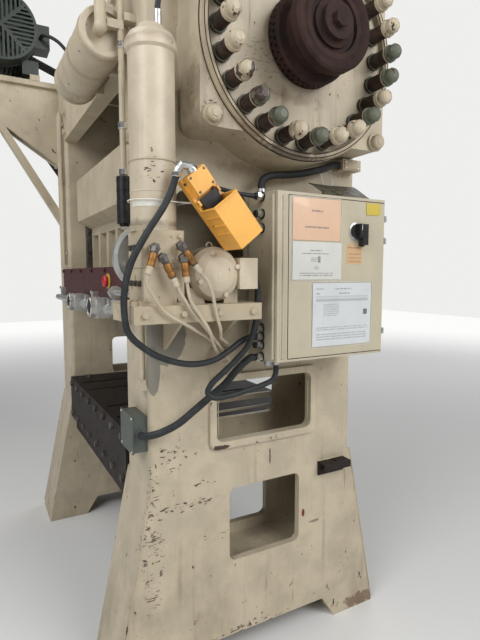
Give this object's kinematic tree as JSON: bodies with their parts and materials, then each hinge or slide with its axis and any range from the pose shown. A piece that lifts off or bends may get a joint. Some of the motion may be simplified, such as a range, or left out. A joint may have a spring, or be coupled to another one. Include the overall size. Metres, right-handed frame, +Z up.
{
  "type": "mechanical stamping press",
  "caption": "Straight-side stamping press: crown with eccentric shaft, slide over a slotted bolster, spring-set brake, belt-driven flywheel, control enclosure and foot switch.",
  "frame": {"origin": "centre of the four anchor holes, on the floor", "axes": "+X from the flywheel side to the brake side, -Y towards the operator, +Z up"},
  "size_m": [2.7055, 1.64, 3.238],
  "materials": {
    "cream_paint": "satin enamel, aged, with grime and chips",
    "box_beige": "flat beige sheet-metal paint",
    "dark_steel": "oily dark steel with rust",
    "oily_steel": "machined steel under oil",
    "rust_iron": "dark rust",
    "cup_brown": "brown rusty castings",
    "cap_green": "faded grey-green paint",
    "motor_green": "dark green enamel",
    "switch_yellow": "worn yellow-orange paint",
    "guard_red": "dull red-brown paint",
    "zinc": "zinc-plated steel and bare castings",
    "brass": "tarnished brass and bronze",
    "black_plastic": "moulded black",
    "pedal_black": "black paint, worn",
    "stop_red": "glossy red",
    "belt_rubber": "black belt rubber",
    "cable_sheath": "dark grey rubber sheath",
    "hose_cream": "overpainted hydraulic hose",
    "string_white": "twisted white string"
  },
  "bodies": {
    "frame": {"right_upright": "cream_paint", "left_upright": "cream_paint", "crown": "cream_paint", "bed": "oily_steel", "bolster": "dark_steel", "bed_apron": "dark_steel", "frame_bolts": "zinc", "slide_gibs": "cream_paint", "crank_bushes": "brass", "brake_housing": "cream_paint", "brake_ring": "cream_paint", "spring_cups": "cup_brown", "cream_cup_caps": "cream_paint", "green_cup_caps": "cap_green", "side_step": "cream_paint", "drive_belts": "belt_rubber", "motor_bracket": "cream_paint", "motor_body": "motor_green", "motor_fan_cover": "motor_green", "air_tank": "cream_paint", "air_pipes": "cream_paint", "air_muffler": "black_plastic", "unit_shelf": "cream_paint", "valve_blocks": "cream_paint", "oil_reservoir": "cream_paint", "hose_swivels": "brass", "pump_wheel": "zinc", "pump_motor": "cream_paint", "enclosure_body": "box_beige", "enclosure_panel": "zinc", "cable_glands": "zinc", "conduit_outlet": "zinc", "junction_box": "zinc", "guard_plate": "guard_red", "control_bar": "zinc", "foot_switch_base": "switch_yellow", "foot_switch_hood": "switch_yellow", "foot_switch_cable": "cable_sheath", "machine_cables": "cable_sheath", "crown_cable": "cable_sheath", "hydraulic_hoses": "hose_cream", "tie_string": "string_white"},
    "crank": {"crankshaft": "oily_steel", "brake_disc": "dark_steel", "brake_drum": "rust_iron", "clutch_unit": "oily_steel"},
    "flywheel": {"flywheel": "dark_steel"},
    "rotor": {"motor_rotor": "oily_steel"},
    "left_pitman": {"left_pitman": "oily_steel"},
    "right_pitman": {"right_pitman": "oily_steel"},
    "slide": {"slide": "cream_paint"},
    "door": {"enclosure_door": "box_beige"},
    "handle": {"disconnect_handle": "black_plastic"},
    "top_clamp": {"top_clamp": "zinc"},
    "middle_clamp": {"middle_clamp": "zinc"},
    "lower_clamp": {"lower_clamp": "zinc"},
    "left_palm": {"left_palm_button": "black_plastic"},
    "right_palm": {"right_palm_button": "black_plastic"},
    "stop": {"stop_button": "stop_red"},
    "pedal": {"foot_pedal": "pedal_black"}
  },
  "joints": [
    {"name": "crank_spin", "type": "hinge", "parent": "frame", "child": "crank", "pos_m": [0, 0.05, 2.387], "axis": [1, 0, 0], "continuous": true},
    {"name": "flywheel_spin", "type": "hinge", "parent": "frame", "child": "flywheel", "pos_m": [-1.241, 0.05, 2.387], "axis": [1, 0, 0], "continuous": true},
    {"name": "rotor_spin", "type": "hinge", "parent": "frame", "child": "rotor", "pos_m": [-1, -0.79, 3.033], "axis": [1, 0, 0], "continuous": true},
    {"name": "left_pitman_swing", "type": "hinge", "parent": "crank", "child": "left_pitman", "pos_m": [-0.3, 0.05, 2.425], "axis": [1, 0, 0], "continuous": true},
    {"name": "right_pitman_swing", "type": "hinge", "parent": "crank", "child": "right_pitman", "pos_m": [0.3, 0.05, 2.425], "axis": [1, 0, 0], "continuous": true},
    {"name": "slide_stroke", "type": "slide", "parent": "frame", "child": "slide", "axis": [0, 0, -1], "range_m": [0, 0.076]},
    {"name": "door_hinge", "type": "hinge", "parent": "frame", "child": "door", "pos_m": [1.1323, -0.082, 1.568], "axis": [0, 0, -1], "range_deg": [0, 110]},
    {"name": "disconnect_turn", "type": "hinge", "parent": "door", "child": "handle", "pos_m": [1.15, 0.28, 1.743], "axis": [1, 0, 0], "range_deg": [0, 90]},
    {"name": "top_clamp_turn", "type": "hinge", "parent": "frame", "child": "top_clamp", "pos_m": [1.1123, 0.43, 1.796], "axis": [0, 1, 0], "range_deg": [-90, 90]},
    {"name": "middle_clamp_turn", "type": "hinge", "parent": "frame", "child": "middle_clamp", "pos_m": [1.1123, 0.43, 1.711], "axis": [0, 1, 0], "range_deg": [-90, 90]},
    {"name": "lower_clamp_turn", "type": "hinge", "parent": "frame", "child": "lower_clamp", "pos_m": [1.1123, 0.43, 1.355], "axis": [0, 1, 0], "range_deg": [-90, 90]},
    {"name": "left_palm_press", "type": "slide", "parent": "frame", "child": "left_palm", "axis": [0, 1, 0], "range_m": [0, 0.006], "stiffness_N_per_m": 600, "springref_m": -0.004},
    {"name": "right_palm_press", "type": "slide", "parent": "frame", "child": "right_palm", "axis": [0, 1, 0], "range_m": [0, 0.006], "stiffness_N_per_m": 600, "springref_m": -0.004},
    {"name": "stop_press", "type": "slide", "parent": "frame", "child": "stop", "axis": [0, 1, 0], "range_m": [0, 0.006], "stiffness_N_per_m": 600, "springref_m": -0.004},
    {"name": "pedal_press", "type": "hinge", "parent": "frame", "child": "pedal", "pos_m": [1.173, -0.35032, 1.82497], "axis": [0, 0.7771, 0.6293], "range_deg": [0, 6], "stiffness_Nm_per_rad": 4, "springref_deg": -2.86}
  ],
  "couplings": [
    {"joint": "rotor_spin", "follows": "flywheel_spin", "ratio": 4.1188},
    {"joint": "left_pitman_swing", "follows": "crank_spin", "ratio": -1},
    {"joint": "right_pitman_swing", "follows": "crank_spin", "ratio": -1}
  ]
}
